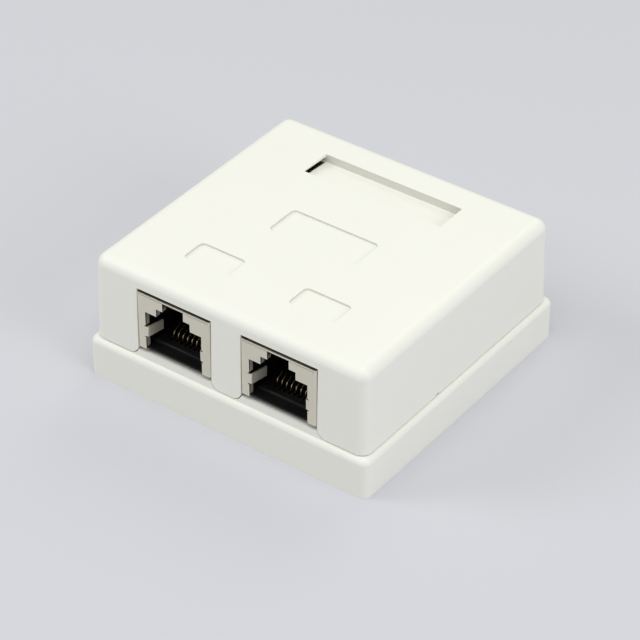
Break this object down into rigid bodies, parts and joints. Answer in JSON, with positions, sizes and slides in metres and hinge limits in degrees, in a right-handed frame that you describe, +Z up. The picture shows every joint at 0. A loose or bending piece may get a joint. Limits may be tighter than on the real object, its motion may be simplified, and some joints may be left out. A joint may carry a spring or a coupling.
{
  "type": "surface mount jack box",
  "caption": "Surface mount network jack box with shielded modular jacks in its front, punch-down blocks on a board inside and a lift-off cover.",
  "frame": {"origin": "centre of the underside of the base", "axes": "+Z up, away from the wall face; +X along the row of jacks, to the right for someone who faces the jacks; +Y from the jacks to the cable entries"},
  "size_m": [0.061, 0.0592, 0.026],
  "materials": {
    "housing_white": "fine satin moulded ABS",
    "shield_steel": "nickel-plated stamped sheet, satin",
    "insulator_black": "black moulded thermoplastic, slightly shiny",
    "carrier_black": "black moulded thermoplastic, slightly shiny",
    "contact_gold": "gold-plated spring wire",
    "board_green": "green solder mask over glass-fibre laminate",
    "idc_plastic": "white moulded polycarbonate",
    "idc_metal": "tin-plated phosphor bronze",
    "screw_steel": "zinc-plated"
  },
  "bodies": {
    "base_body": {"base": "housing_white", "circuit_board": "board_green", "jack_shield_left": "shield_steel", "jack_housing_left": "insulator_black", "contact_carrier_left": "carrier_black", "contact_left_1": "contact_gold", "contact_left_2": "contact_gold", "contact_left_3": "contact_gold", "contact_left_4": "contact_gold", "contact_left_5": "contact_gold", "contact_left_6": "contact_gold", "contact_left_7": "contact_gold", "contact_left_8": "contact_gold", "idc_block_left_front": "idc_plastic", "idc_block_left_rear": "idc_plastic", "idc_clip_left_1": "idc_metal", "idc_clip_left_2": "idc_metal", "idc_clip_left_3": "idc_metal", "idc_clip_left_4": "idc_metal", "idc_clip_left_5": "idc_metal", "idc_clip_left_6": "idc_metal", "idc_clip_left_7": "idc_metal", "idc_clip_left_8": "idc_metal", "jack_shield_right": "shield_steel", "jack_housing_right": "insulator_black", "contact_carrier_right": "carrier_black", "contact_right_1": "contact_gold", "contact_right_2": "contact_gold", "contact_right_3": "contact_gold", "contact_right_4": "contact_gold", "contact_right_5": "contact_gold", "contact_right_6": "contact_gold", "contact_right_7": "contact_gold", "contact_right_8": "contact_gold", "idc_block_right_front": "idc_plastic", "idc_block_right_rear": "idc_plastic", "idc_clip_right_1": "idc_metal", "idc_clip_right_2": "idc_metal", "idc_clip_right_3": "idc_metal", "idc_clip_right_4": "idc_metal", "idc_clip_right_5": "idc_metal", "idc_clip_right_6": "idc_metal", "idc_clip_right_7": "idc_metal", "idc_clip_right_8": "idc_metal", "board_screw_left": "screw_steel", "board_screw_right": "screw_steel"},
    "cover_body": {"cover": "housing_white"}
  },
  "joints": [
    {"name": "cover_lift", "type": "slide", "parent": "base_body", "child": "cover_body", "axis": [0, 0, 1], "range_m": [0, 0.03]}
  ]
}
